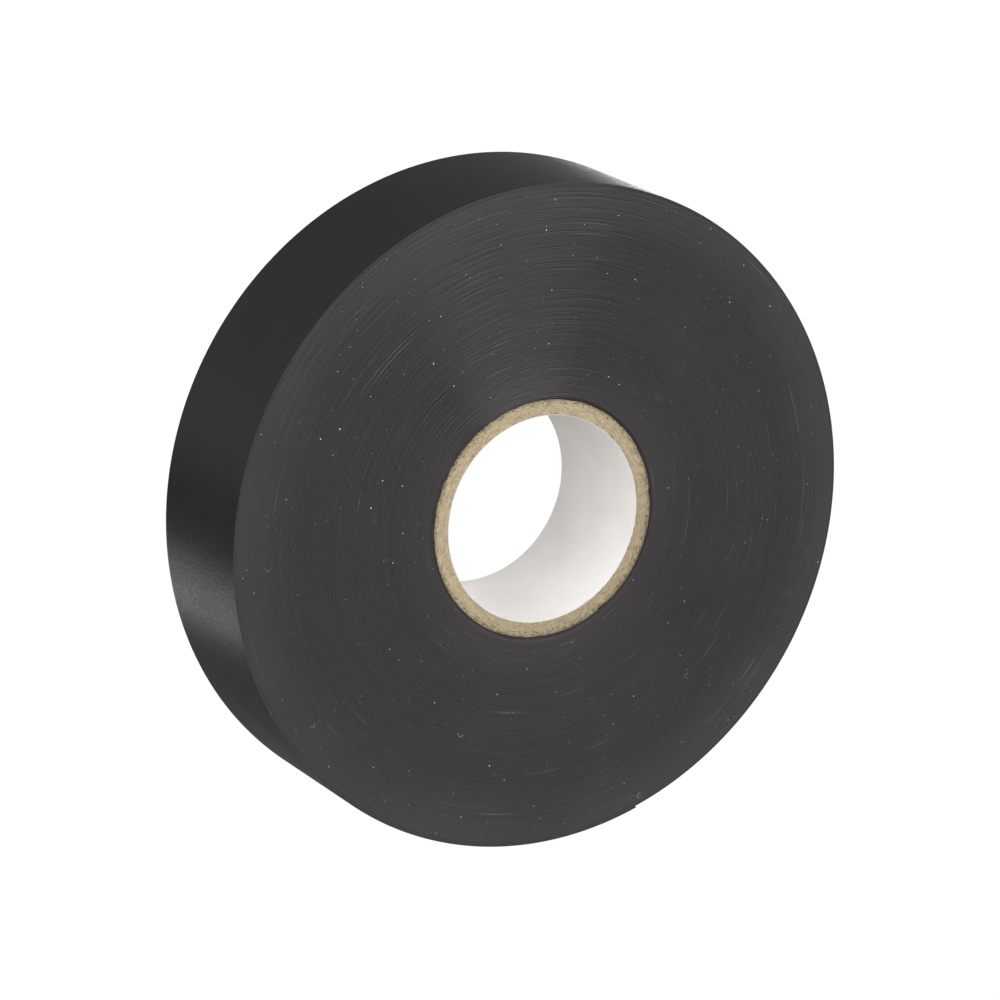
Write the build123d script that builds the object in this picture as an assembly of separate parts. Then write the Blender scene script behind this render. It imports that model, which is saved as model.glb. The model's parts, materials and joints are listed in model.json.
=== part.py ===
"""Electrical tape roll: one long PVC tape wound on a spiral-wound paperboard core.

Millimetres. The origin is the centre of the core's bore, the roll's axis is Y, Z is up and the
front side face looks along -Y. Angles are measured in the XZ plane from +X towards +Z, which is
anticlockwise as the front face is seen. The tape winds outwards anticlockwise.

Places along the tape are counted in half turns from its start on the core. The turns stuck
together under the outer one are one solid. The outer turn has its two layers, the backing and
the adhesive, and so has the free end that follows it: a chain of short rigid lengths, the peel
strip and then the finger tab, each hinged to the one before it, so that it lifts off the roll.
"""

import math
import os

from build123d import *

# Tape
TAPE_WIDTH = 19.05
BACKING_THICKNESS = 0.18
ADHESIVE_THICKNESS = 0.036
WINDING_GAP = 0.024  # air wound in between one turn and the next
TURNS = 112  # whole turns, from the start on the core to the free end
TAPE_END_ANGLE = -71.4  # degrees: where the tape starts on the core and where it ends outside

# Core, a paper liner inside helically wound chipboard plies
CORE_BORE = 26.2
LINER_THICKNESS = 0.15
PLY_THICKNESS = 0.46
PLY_COUNT = 4
PLY_SEAM_GAP = 0.4  # between a ply strip's edges, along the circumference
PLY_SEAM_TILT = 48.0  # degrees between a ply's seam and the roll's axis
LINER_SEAM_ANGLE = 150.0  # degrees: where the liner's seam meets the front face
PLY_SEAM_STEP = 75.0  # degrees from each ply's seam to the next ply's
CORE_CLEARANCE = 0.01  # between the core and the start of the tape

# Free end of the tape
STRIP_SEGMENTS = 8
STRIP_SEGMENT_LENGTH = 5.8
TAB_SEGMENTS = 4
TAB_SEGMENT_LENGTH = 4.4
HINGE_GAP = 0.02  # slit between one length of the free end and the next

# Worked out from the sizes above
TAPE_THICKNESS = ADHESIVE_THICKNESS + BACKING_THICKNESS
PITCH = TAPE_THICKNESS + WINDING_GAP
LINER_RADIUS = CORE_BORE / 2 + LINER_THICKNESS
CORE_RADIUS = LINER_RADIUS + PLY_COUNT * PLY_THICKNESS
START_RADIUS = CORE_RADIUS + CORE_CLEARANCE
HALF_TURNS = 2 * TURNS
LAST_RADIUS = START_RADIUS + PITCH / 4 + (HALF_TURNS - 1) * PITCH / 2
OUTER_RADIUS = LAST_RADIUS + TAPE_THICKNESS
SEGMENT_LENGTHS = [STRIP_SEGMENT_LENGTH] * STRIP_SEGMENTS + [TAB_SEGMENT_LENGTH] * TAB_SEGMENTS
SEGMENT_ANGLES = [math.degrees(length / OUTER_RADIUS) for length in SEGMENT_LENGTHS]
FREE_ANGLE = sum(SEGMENT_ANGLES)
FREE_START = HALF_TURNS - FREE_ANGLE / 180  # half turns, where the free end begins
OUTER_START = FREE_START - 2  # half turns, where the outer turn begins

SIDE = Plane.XZ.offset(-TAPE_WIDTH / 2)  # the rear side face, with its normal to the front


def on_side(centre, radius, angle):
    """Point in the rear side face's own axes, at a radius and an angle from a centre."""
    turn = math.radians(angle)
    return SIDE.from_local_coords(
        (centre[0] + radius * math.cos(turn), centre[1] + radius * math.sin(turn), 0)
    )


def turn_centre(half_turn):
    """Centre of one half turn of the winding.

    The spiral is a row of semicircles. Their centres alternate between two points, a quarter
    pitch each side of the origin, so each half turn runs smoothly into the next.
    """
    shift = PITCH / 4 if half_turn % 2 else -PITCH / 4
    turn = math.radians(TAPE_END_ANGLE)
    return shift * math.cos(turn), shift * math.sin(turn)


def turn_radius(half_turn):
    """Radius of one half turn of the winding, at the underside of the tape."""
    return START_RADIUS + PITCH / 4 + half_turn * PITCH / 2


def arc(centre, radius, start, end):
    """Arc in the rear side face between two angles about a centre."""
    middle = (start + end) / 2
    return Edge.make_three_point_arc(*(on_side(centre, radius, a) for a in (start, middle, end)))


def spiral(start, end, height):
    """Edges of the winding from one place along the tape to another.

    height is counted from the tape's underside.
    """
    edges = []
    for half_turn in range(math.floor(start), math.ceil(end)):
        first, last = max(start, half_turn), min(end, half_turn + 1)
        angles = (TAPE_END_ANGLE + 180 * place for place in (first, last))
        edges.append(arc(turn_centre(half_turn), turn_radius(half_turn) + height, *angles))
    return edges


def layer(start, end, bottom, top):
    """One layer of the tape between two places along it and two heights above its underside."""
    inner, outer = spiral(start, end, bottom), spiral(start, end, top)
    caps = [
        Edge.make_line(inner[0] @ 0, outer[0] @ 0),
        Edge.make_line(inner[-1] @ 1, outer[-1] @ 1),
    ]
    outline = Wire([*inner, caps[1], *reversed(outer), caps[0]])
    return extrude(Face(outline), amount=TAPE_WIDTH, dir=SIDE.z_dir)


def closed_turn(start, height):
    """Wire round one turn of the winding, closed by the step from that turn to the next."""
    edges = spiral(start, start + 2, height)
    return Wire([*edges, Edge.make_line(edges[-1] @ 1, edges[0] @ 0)])


def wound_turns():
    """The turns between the core and the outer turn, with a step at the start and at the end."""
    section = Face(closed_turn(OUTER_START - 2, TAPE_THICKNESS), [closed_turn(0, 0)])
    return extrude(section, amount=TAPE_WIDTH, dir=SIDE.z_dir)


def hinge_place(segment):
    """Where along the tape, in half turns, the hinge line before one free length lies."""
    return HALF_TURNS - sum(SEGMENT_ANGLES[segment:]) / 180


def hinge_point(segment):
    """X and Z of a hinge line. It lies on the outer face of the tape."""
    centre = turn_centre(HALF_TURNS - 1)
    turn = math.radians(TAPE_END_ANGLE + 180 * hinge_place(segment))
    return (
        centre[0] + OUTER_RADIUS * math.cos(turn),
        centre[1] + OUTER_RADIUS * math.sin(turn),
    )


def free_places(segment):
    """Where one length of the free end begins, clear of its hinge line, and where it ends."""
    slit = math.degrees(HINGE_GAP / OUTER_RADIUS) / 180
    return hinge_place(segment) + slit, hinge_place(segment + 1)


def core_layer(inner_radius, thickness, seam_angle):
    """One ply of the core: a tube with the helical seam where the strip's edges meet."""
    outer_radius = inner_radius + thickness
    tube = Cylinder(outer_radius, TAPE_WIDTH, rotation=(90, 0, 0))
    tube -= Cylinder(inner_radius, TAPE_WIDTH, rotation=(90, 0, 0))
    overrun = thickness  # the cutter stands this far past the ply on every side
    depth = TAPE_WIDTH + 2 * overrun
    twist = math.degrees(depth * math.tan(math.radians(PLY_SEAM_TILT)) / inner_radius)
    blank = Plane(
        origin=SIDE.origin - SIDE.z_dir * overrun,
        x_dir=SIDE.x_dir,
        z_dir=SIDE.z_dir,
    )
    section = blank * Rot(0, 0, seam_angle - twist) * Pos(inner_radius + thickness / 2, 0)
    section *= Rectangle(thickness + 2 * overrun, PLY_SEAM_GAP)
    cutter = Solid.extrude_linear_with_rotation(
        section.face(), center=blank.origin, normal=blank.z_dir * depth, angle=twist
    )
    return tube - cutter


def segment_names():
    """Names of the lengths of the free end, from the roll outwards."""
    strip = [f"strip_{i + 1}" for i in range(STRIP_SEGMENTS)]
    return strip + [f"tab_{i + 1}" for i in range(TAB_SEGMENTS)]


def core_parts():
    """The liner and the chipboard plies, by node name."""
    parts = {"core_liner": core_layer(CORE_BORE / 2, LINER_THICKNESS, LINER_SEAM_ANGLE)}
    for i in range(PLY_COUNT):
        parts[f"core_ply_{i + 1}"] = core_layer(
            LINER_RADIUS + i * PLY_THICKNESS,
            PLY_THICKNESS,
            LINER_SEAM_ANGLE + (i + 1) * PLY_SEAM_STEP,
        )
    return parts


def tape_parts():
    """The wound tape, its outer turn and every length of its free end, by node name."""
    parts = {"wound_turns": wound_turns()}
    places = {"outer_turn": (OUTER_START, FREE_START)}
    places |= {name: free_places(i) for i, name in enumerate(segment_names())}
    for name, (start, end) in places.items():
        parts[f"{name}_adhesive"] = layer(start, end, 0, ADHESIVE_THICKNESS)
        parts[f"{name}_backing"] = layer(start, end, ADHESIVE_THICKNESS, TAPE_THICKNESS)
    return parts


def tape_length():
    """Length of the whole tape along its underside."""
    return sum(math.pi * turn_radius(half_turn) for half_turn in range(HALF_TURNS))


def main():
    """Builds every node and writes it to parts/."""
    os.makedirs("parts", exist_ok=True)
    for name, shape in {**core_parts(), **tape_parts()}.items():
        export_step(shape, f"parts/{name}.step")
    print(f"roll diameter {2 * OUTER_RADIUS:.2f} mm, core diameter {2 * CORE_RADIUS:.2f} mm")
    print(f"tape length {tape_length() / 1000:.2f} m, free end {FREE_ANGLE:.1f} degrees")


if __name__ == "__main__":
    main()
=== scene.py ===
"""Electrical tape roll: the looks of the wound tape, its peeling end, the core and the dust on it.

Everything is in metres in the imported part's own frame: the roll's axis is Y, Z is up, and the front
side face looks along -Y. Places along the tape are counted in half turns from its start on the core.
Geometry Nodes wind the tape, cut its peeling lengths, wind the core's plies and scatter the dust.
"""

import json
import logging
import math
from collections.abc import Callable
from dataclasses import dataclass
from enum import Enum

import bpy
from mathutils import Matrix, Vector

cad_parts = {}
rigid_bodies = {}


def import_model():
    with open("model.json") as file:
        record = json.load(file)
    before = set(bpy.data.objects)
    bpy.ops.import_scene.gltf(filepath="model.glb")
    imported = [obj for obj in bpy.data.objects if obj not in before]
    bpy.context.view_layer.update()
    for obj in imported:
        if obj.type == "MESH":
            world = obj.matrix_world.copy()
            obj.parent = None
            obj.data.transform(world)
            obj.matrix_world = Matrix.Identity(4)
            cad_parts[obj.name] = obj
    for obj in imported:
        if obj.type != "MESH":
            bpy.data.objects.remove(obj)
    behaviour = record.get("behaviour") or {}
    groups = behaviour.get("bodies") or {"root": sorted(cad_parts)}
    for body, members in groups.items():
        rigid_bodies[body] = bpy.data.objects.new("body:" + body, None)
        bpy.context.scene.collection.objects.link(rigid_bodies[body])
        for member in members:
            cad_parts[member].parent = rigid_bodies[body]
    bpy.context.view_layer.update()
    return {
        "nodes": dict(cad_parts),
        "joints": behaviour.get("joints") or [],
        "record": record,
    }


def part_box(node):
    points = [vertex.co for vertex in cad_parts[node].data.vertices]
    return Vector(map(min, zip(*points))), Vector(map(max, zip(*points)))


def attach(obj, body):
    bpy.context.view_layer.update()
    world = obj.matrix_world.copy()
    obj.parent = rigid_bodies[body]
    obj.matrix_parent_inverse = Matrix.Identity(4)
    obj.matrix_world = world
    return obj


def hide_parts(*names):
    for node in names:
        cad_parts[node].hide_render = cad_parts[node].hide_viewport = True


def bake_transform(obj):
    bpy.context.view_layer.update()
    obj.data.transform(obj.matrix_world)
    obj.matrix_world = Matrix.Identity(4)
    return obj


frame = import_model()

MM = 0.001
LOG = logging.getLogger("tape_roll")


# ---------------------------------------------------------------------------------------------
# Node trees
# ---------------------------------------------------------------------------------------------


class Plug(Enum):
    """Kinds of socket that a tree or a group shows."""

    NUMBER = "NodeSocketFloat"
    COUNT = "NodeSocketInt"
    VECTOR = "NodeSocketVector"
    MATERIAL = "NodeSocketMaterial"
    GEOMETRY = "NodeSocketGeometry"


class Value:
    """A number in a node tree. Its arithmetic adds Math nodes."""

    def __init__(self, graph: "Graph", socket: bpy.types.NodeSocket) -> None:
        """Keeps the socket that gives the number.

        Args:
            graph: The tree that the socket belongs to.
            socket: The output socket.
        """
        self.graph = graph
        self.socket = socket

    def __add__(self, other: "Value | float") -> "Value":
        """Sum."""
        return self.graph.math("ADD", self, other)

    def __sub__(self, other: "Value | float") -> "Value":
        """Difference."""
        return self.graph.math("SUBTRACT", self, other)

    def __rsub__(self, other: float) -> "Value":
        """Difference from a plain number."""
        return self.graph.math("SUBTRACT", other, self)

    def __mul__(self, other: "Value | float") -> "Value":
        """Product."""
        return self.graph.math("MULTIPLY", self, other)

    def __truediv__(self, other: "Value | float") -> "Value":
        """Quotient."""
        return self.graph.math("DIVIDE", self, other)

    __radd__ = __add__
    __rmul__ = __mul__


class Graph:
    """A node tree with short ways to add nodes and to join them."""

    def __init__(self, tree: bpy.types.NodeTree) -> None:
        """Keeps the tree.

        Args:
            tree: The tree to add nodes to.
        """
        self.tree = tree

    def feed(self, socket: bpy.types.NodeSocket, value: object) -> None:
        """Gives an input its value, or joins it to the output that has it.

        Args:
            socket: The input socket.
            value: A plain value, a Value or an output socket.
        """
        source = value.socket if isinstance(value, Value) else value
        if isinstance(source, bpy.types.NodeSocket):
            self.tree.links.new(source, socket)
        else:
            socket.default_value = source

    def node(self, kind: str, inputs: dict | None = None, **settings: object) -> bpy.types.Node:
        """Adds a node.

        Args:
            kind: The node's type name.
            inputs: Values by input name, or by place among the inputs.
            settings: The node's own properties.

        Returns:
            The node.
        """
        made = self.tree.nodes.new(kind)
        for name, value in settings.items():
            setattr(made, name, value)
        for name, value in (inputs or {}).items():
            if isinstance(name, int):
                socket = made.inputs[name]
            else:
                socket = next(s for s in made.inputs if s.name == name and s.enabled)
            self.feed(socket, value)
        return made

    def value(self, kind: str, inputs: dict | None = None, **settings: object) -> Value:
        """Adds a node and gives its first output as a number."""
        return Value(self, self.node(kind, inputs, **settings).outputs[0])

    def math(self, operation: str, *values: "Value | float") -> Value:
        """Adds a Math node."""
        return self.value("ShaderNodeMath", dict(enumerate(values)), operation=operation)

    def smooth(self, value: Value, low: "Value | float", high: "Value | float") -> Value:
        """Adds a soft step: 0 below low, 1 above high."""
        inputs = {"Value": value, "From Min": low, "From Max": high}
        return self.value("ShaderNodeMapRange", inputs, interpolation_type="SMOOTHSTEP")

    def between(self, share: Value, low: "Value | float", high: "Value | float") -> Value:
        """Gives low where share is 0 and high where it is 1."""
        inputs = {"Value": share, "To Min": low, "To Max": high}
        return self.value("ShaderNodeMapRange", inputs)

    def line_noise(self, at: Value, scale: float, detail: float = 0.0) -> Value:
        """Adds noise that varies along one number."""
        inputs = {"W": at, "Scale": scale, "Detail": detail}
        return self.value("ShaderNodeTexNoise", inputs, noise_dimensions="1D")

    def noise(
        self, at: object, scale: "Value | float", detail: float = 2.0, rough: float = 0.5
    ) -> Value:
        """Adds noise that varies through space."""
        inputs = {"Vector": at, "Scale": scale, "Detail": detail, "Roughness": rough}
        return self.value("ShaderNodeTexNoise", inputs, noise_dimensions="3D")

    def combine(self, x: object, y: object, z: object) -> bpy.types.NodeSocket:
        """Makes a vector of three numbers."""
        return self.node("ShaderNodeCombineXYZ", {0: x, 1: y, 2: z}).outputs[0]

    def separate(self, vector: object) -> tuple[Value, Value, Value]:
        """Takes a vector apart."""
        made = self.node("ShaderNodeSeparateXYZ", {0: vector})
        return tuple(Value(self, socket) for socket in made.outputs)

    def colour_mix(self, share: object, first: object, second: object) -> object:
        """Mixes two colours.

        Args:
            share: How much of the second colour there is.
            first: A colour or a colour socket.
            second: A colour or a colour socket.

        Returns:
            The colour socket.
        """
        made = self.node("ShaderNodeMix", data_type="RGBA")
        for place, value in ((0, share), (6, first), (7, second)):
            self.feed(made.inputs[place], value)
        return made.outputs[2]

    def put_out(self, exit_node: bpy.types.Node, outputs: dict[str, object]) -> bpy.types.NodeTree:
        """Feeds a tree's outputs by name and gives the finished tree."""
        for title, value in outputs.items():
            self.feed(exit_node.inputs[title], value)
        return self.tree


def new_group(
    name: str, kind: str, inputs: dict[str, tuple[Plug, object]], outputs: dict[str, Plug]
) -> tuple[Graph, dict[str, Value], bpy.types.Node]:
    """Makes a node group with named inputs and outputs.

    Args:
        name: The group's name.
        kind: GeometryNodeTree or ShaderNodeTree.
        inputs: Each input's kind and its usual value.
        outputs: Each output's kind.

    Returns:
        The graph, the inputs by name and the node that takes the outputs.
    """
    tree = bpy.data.node_groups.new(name, kind)
    for title, (plug, usual) in inputs.items():
        socket = tree.interface.new_socket(name=title, in_out="INPUT", socket_type=plug.value)
        if usual is not None:
            socket.default_value = usual
    for title, plug in outputs.items():
        tree.interface.new_socket(name=title, in_out="OUTPUT", socket_type=plug.value)
    graph = Graph(tree)
    entry = graph.node("NodeGroupInput")
    inlet = {title: Value(graph, entry.outputs[title]) for title in inputs}
    return graph, inlet, graph.node("NodeGroupOutput")


def new_tree(
    name: str, inputs: dict[str, tuple[Plug, object]]
) -> tuple[Graph, dict[str, Value], bpy.types.Node]:
    """Makes a Geometry Nodes tree that gives one geometry, as new_group does."""
    return new_group(name, "GeometryNodeTree", inputs, {"Geometry": Plug.GEOMETRY})


def use_group(graph: Graph, tree: bpy.types.NodeTree, inputs: dict[str, object]) -> bpy.types.Node:
    """Places a group in a tree.

    Args:
        graph: The tree to add it to.
        tree: The group.
        inputs: Values by input name.

    Returns:
        The group's node.
    """
    shader = tree.bl_idname == "ShaderNodeTree"
    made = graph.node("ShaderNodeGroup" if shader else "GeometryNodeGroup", node_tree=tree)
    for title, value in inputs.items():
        graph.feed(made.inputs[title], value)
    return made


def group_values(
    graph: Graph, tree: bpy.types.NodeTree, inputs: dict[str, object]
) -> tuple[Value, ...]:
    """Places a group in a tree and gives its outputs as numbers."""
    return tuple(Value(graph, socket) for socket in use_group(graph, tree, inputs).outputs)


def grow(name: str, tree: bpy.types.NodeTree, inputs: dict[str, object]) -> bpy.types.Object:
    """Runs a Geometry Nodes tree once and keeps its result as a plain mesh.

    Args:
        name: The new object's name.
        tree: The tree.
        inputs: Values by the tree's input names.

    Returns:
        The object, at the origin.
    """
    made = bpy.data.objects.new(name, bpy.data.meshes.new(name))
    bpy.context.scene.collection.objects.link(made)
    modifier = made.modifiers.new(name, "NODES")
    modifier.node_group = tree
    for item in tree.interface.items_tree:
        if item.item_type == "SOCKET" and item.in_out == "INPUT" and item.name in inputs:
            modifier[item.identifier] = inputs[item.name]
    depsgraph = bpy.context.evaluated_depsgraph_get()
    mesh = bpy.data.meshes.new_from_object(made.evaluated_get(depsgraph))
    made.modifiers.remove(modifier)
    made.data = mesh
    mesh.name = name
    return made


def smooth_mesh(piece: bpy.types.Object, crease: float) -> None:
    """Shades a piece smooth, but for its creases, and drops what only its tree needed.

    Args:
        piece: The object.
        crease: The angle in degrees past which an edge stays sharp.
    """
    mesh = piece.data
    helper = mesh.attributes.get("face_kind")
    if helper:
        mesh.attributes.remove(helper)
    mesh.shade_smooth()
    mesh.set_sharp_from_angle(angle=math.radians(crease))


def report(piece: bpy.types.Object, bodies: str) -> None:
    """Logs a finished piece."""
    count = sum(len(face.vertices) - 2 for face in piece.data.polygons)
    LOG.info("%s rides on %s, %d triangles", piece.name, bodies, count)


# ---------------------------------------------------------------------------------------------
# The winding
# ---------------------------------------------------------------------------------------------


@dataclass(frozen=True)
class Winding:
    """How the tape is wound on its core."""

    width: float
    start_radius: float
    adhesive: float = 0.036 * MM
    thickness: float = 0.216 * MM
    pitch: float = 0.24 * MM
    half_turns: int = 224
    end_angle: float = math.radians(-71.4)

    @classmethod
    def from_frame(cls) -> "Winding":
        """Takes the tape's width and its start on the core from the frame."""
        low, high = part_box("wound_turns")
        core_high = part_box("core_ply_4")[1]
        clearance = 0.01 * MM
        return cls(width=high.y - low.y, start_radius=core_high.z + clearance)

    def radius(self, place: float, height: float) -> float:
        """Distance from the axis.

        Args:
            place: Place along the tape, in half turns.
            height: Height above the tape's underside.

        Returns:
            The radius in metres.
        """
        turn = math.floor(place)
        swing = math.cos(math.pi * (place - turn)) * self.pitch / 4
        return self.start_radius + self.pitch / 4 + turn * self.pitch / 2 - swing + height

    def point(self, place: float, height: float) -> Vector:
        """Point of the tape's middle line at a place and a height."""
        angle = self.end_angle + math.pi * place
        radius = self.radius(place, height)
        return Vector((radius * math.cos(angle), 0.0, radius * math.sin(angle)))

    def place_near_end(self, point: Vector) -> float:
        """Place along the tape of a point on the last turn.

        Args:
            point: A point of the frame.

        Returns:
            The place in half turns.
        """
        behind = (self.end_angle - math.atan2(point.z, point.x)) % (2 * math.pi)
        return self.half_turns - behind / math.pi


@dataclass(frozen=True)
class EdgeRelief:
    """How unevenly the turns lie, seen from the side. Depths are below the side face's plane."""

    wander: float = 0.016 * MM
    sunk: float = 0.020 * MM
    groove: float = 0.019 * MM
    inner_dip: float = 0.16 * MM
    slack_angle: float = math.radians(108.0)
    seed: float = 3.7

    def group(self) -> bpy.types.NodeTree:
        """Builds the group that says how deep the tape's edge lies at a place along it.

        Returns:
            A group from Along, in turns, and Side, -1 at the front and 1 at the rear, to Depth, to
            Slack, which is 1 where the turns lie loosest and 0 where they lie tight, and to Slip,
            which is 1 where a turn has slipped inwards.
        """
        inputs = {
            "Along": (Plug.NUMBER, 0.0),
            "Side": (Plug.NUMBER, -1.0),
            "Wander": (Plug.NUMBER, self.wander),
            "Sunk": (Plug.NUMBER, self.sunk),
            "Slack Angle": (Plug.NUMBER, self.slack_angle),
            "End Angle": (Plug.NUMBER, 0.0),
            "Seed": (Plug.NUMBER, self.seed),
        }
        outputs = {"Depth": Plug.NUMBER, "Slack": Plug.NUMBER, "Slip": Plug.NUMBER}
        graph, inlet, exit_node = new_group("Edge Relief", "GeometryNodeTree", inputs, outputs)
        along = inlet["Along"] + inlet["Seed"] * 31.0 + inlet["Side"] * 517.0
        drift = graph.line_noise(along, 1.37, 1.0)
        shake = graph.line_noise(along + 90.0, 5.1, 0.0)
        slip = graph.smooth(graph.line_noise(along + 211.0, 13.0, 2.0), 0.58, 0.72)
        angle = inlet["Along"] * (2 * math.pi) + inlet["End Angle"] - inlet["Slack Angle"]
        slack = graph.smooth(graph.math("COSINE", angle), 0.40, 0.96)
        slip = graph.between(slack, 0.05, 1.0) * slip
        depth = inlet["Wander"] * (drift * 0.7 + shake * 0.3) + inlet["Sunk"] * slip
        return graph.put_out(exit_node, {"Depth": depth, "Slack": slack, "Slip": slip})


def winding_group(winding: Winding) -> bpy.types.NodeTree:
    """Builds the group that places a point of the tape on the roll.

    Args:
        winding: How the tape is wound.

    Returns:
        A group from Place, Height and Across to Point, Radius and Angle.
    """
    inputs = {
        "Place": (Plug.NUMBER, 0.0),
        "Height": (Plug.NUMBER, 0.0),
        "Across": (Plug.NUMBER, 0.0),
        "Start Radius": (Plug.NUMBER, winding.start_radius),
        "Pitch": (Plug.NUMBER, winding.pitch),
        "End Angle": (Plug.NUMBER, winding.end_angle),
    }
    outputs = {"Point": Plug.VECTOR, "Radius": Plug.NUMBER, "Angle": Plug.NUMBER}
    graph, inlet, exit_node = new_group("Winding Place", "GeometryNodeTree", inputs, outputs)
    turn = graph.math("FLOOR", inlet["Place"])
    swing = graph.math("COSINE", (inlet["Place"] - turn) * math.pi)
    rise = inlet["Pitch"] * (turn * 0.5 + 0.25 - swing * 0.25)
    radius = inlet["Start Radius"] + rise + inlet["Height"]
    radius = graph.math("MAXIMUM", radius, inlet["Start Radius"])
    angle = inlet["Place"] * math.pi + inlet["End Angle"]
    point = graph.combine(
        radius * graph.math("COSINE", angle), inlet["Across"], radius * graph.math("SINE", angle)
    )
    return graph.put_out(exit_node, {"Point": point, "Radius": radius, "Angle": angle})


class Kind(Enum):
    """Which face of the unrolled block a face belongs to."""

    SIDE = 0
    UNDER = 1
    TOP = 2
    END = 3


def unit_block(
    graph: Graph, columns: Value, rows: Value | int, layers: Value | int
) -> tuple[object, Value, Value, Value]:
    """Adds a block of size 1 about the origin, to be bent round the roll's axis.

    Bent with x along the angle, y along the axis and z outwards, its faces come to point inwards.

    Args:
        graph: The tree.
        columns: How many steps it has along x.
        rows: How many points it has along y.
        layers: How many points it has along z.

    Returns:
        The geometry socket, and the position on the block in x, y and z, from -0.5 to 0.5.
    """
    inputs = {
        "Size": (1.0, 1.0, 1.0),
        "Vertices X": columns + 1.0,
        "Vertices Y": rows,
        "Vertices Z": layers,
    }
    block = graph.node("GeometryNodeMeshCube", inputs).outputs[0]
    return block, *graph.separate(graph.node("GeometryNodeInputPosition").outputs[0])


def block_kinds(graph: Graph, mesh: object, x: Value, z: Value) -> object:
    """Stores on each face of a block which of its sides it belongs to.

    Args:
        graph: The tree.
        mesh: The block's geometry socket.
        x: Position along the block, from -0.5 to 0.5.
        z: Position through the block, from -0.5 to 0.5.

    Returns:
        The geometry socket.
    """
    edge = 0.49999
    under = graph.math("LESS_THAN", z, -edge)
    top = graph.math("GREATER_THAN", z, edge)
    end = graph.math("GREATER_THAN", graph.math("ABSOLUTE", x), edge)
    kind = under * float(Kind.UNDER.value) + top * float(Kind.TOP.value)
    kind = kind + end * float(Kind.END.value)
    return store(graph, mesh, "face_kind", kind, "FLOAT", "FACE")


def stored(graph: Graph, name: str) -> Value:
    """Reads a stored number back."""
    made = graph.node("GeometryNodeInputNamedAttribute", {"Name": name}, data_type="FLOAT")
    return Value(graph, made.outputs[0])


def is_kind(graph: Graph, kind: Kind) -> Value:
    """Gives 1 on the faces of a kind."""
    off = graph.math("ABSOLUTE", stored(graph, "face_kind") - float(kind.value))
    return graph.math("LESS_THAN", off, 0.5)


def store(graph: Graph, mesh: object, name: str, value: object, kind: str, domain: str) -> object:
    """Stores an attribute and gives the geometry socket."""
    inputs = {"Geometry": mesh, "Name": name, "Value": value}
    made = graph.node("GeometryNodeStoreNamedAttribute", inputs, data_type=kind, domain=domain)
    return made.outputs[0]


def paint_faces(graph: Graph, mesh: object, finishes: list[tuple[Value | bool, object]]) -> object:
    """Gives faces their materials, the later ones over the earlier.

    Args:
        graph: The tree.
        mesh: The geometry socket.
        finishes: Pairs of the faces and the material socket.

    Returns:
        The geometry socket.
    """
    for chosen, finish in finishes:
        inputs = {"Geometry": mesh, "Selection": chosen, "Material": finish}
        mesh = graph.node("GeometryNodeSetMaterial", inputs).outputs[0]
    return mesh


def move_points(graph: Graph, mesh: object, place: object) -> object:
    """Moves a mesh's points to their places and gives the geometry socket."""
    inputs = {"Geometry": mesh, "Position": place}
    return graph.node("GeometryNodeSetPosition", inputs).outputs[0]


def end_tree(
    graph: Graph, exit_node: bpy.types.Node, mesh: object, finishes: list[tuple[Value | bool, object]]
) -> bpy.types.NodeTree:
    """Ends a tree: makes its instances real, paints its faces and puts the mesh out.

    Args:
        graph: The tree.
        exit_node: The node that takes the tree's output.
        mesh: The geometry socket.
        finishes: Pairs of the faces and the material socket.

    Returns:
        The finished tree.
    """
    real = graph.node("GeometryNodeRealizeInstances", {"Geometry": mesh}).outputs[0]
    return graph.put_out(exit_node, {"Geometry": paint_faces(graph, real, finishes)})


@dataclass(frozen=True)
class TapeFinishes:
    """The materials that the tape's faces take."""

    film: bpy.types.Material
    edge: bpy.types.Material
    adhesive: bpy.types.Material


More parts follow.
